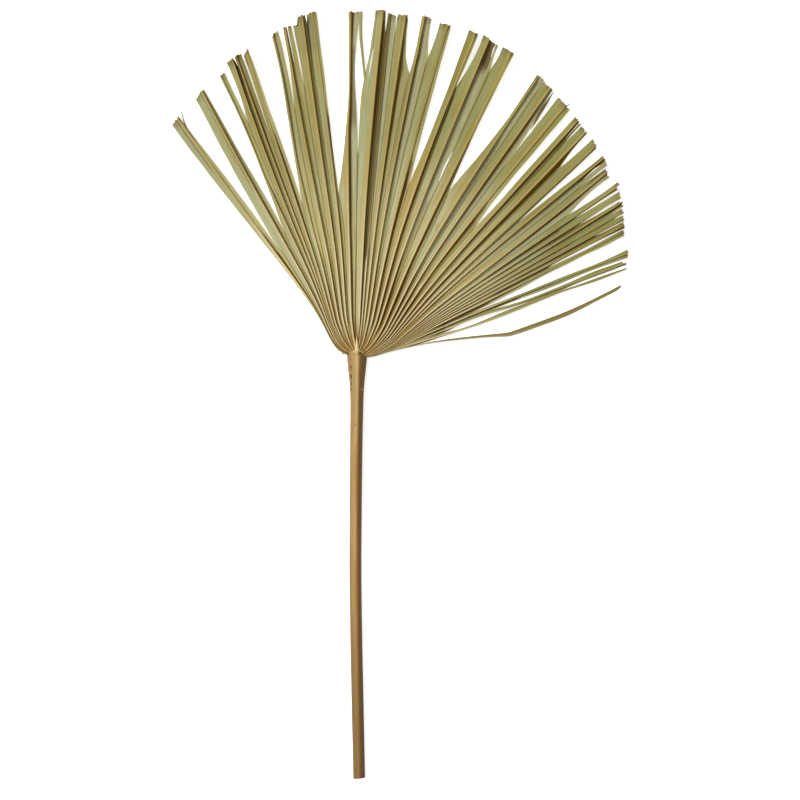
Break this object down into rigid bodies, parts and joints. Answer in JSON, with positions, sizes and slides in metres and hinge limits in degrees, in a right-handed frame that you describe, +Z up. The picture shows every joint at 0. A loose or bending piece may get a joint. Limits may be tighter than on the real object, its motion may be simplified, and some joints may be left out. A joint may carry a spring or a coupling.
{
  "type": "fan palm leaf",
  "caption": "Dried fan palm leaf lying flat, underside up: pleated green blade split into trimmed segments, on a long tan cut stalk.",
  "frame": {"origin": "under the middle of the whole leaf, on the surface it lies on", "axes": "+Y along the stalk towards the blade, +X to the right as the leaf is seen from above, +Z up from the surface"},
  "size_m": [0.593, 0.9976, 0.0215],
  "materials": {
    "petiole": "satin",
    "leaf_blade": "matte"
  },
  "bodies": {
    "root": {"petiole": "petiole", "leaf_blade": "leaf_blade"}
  },
  "joints": []
}
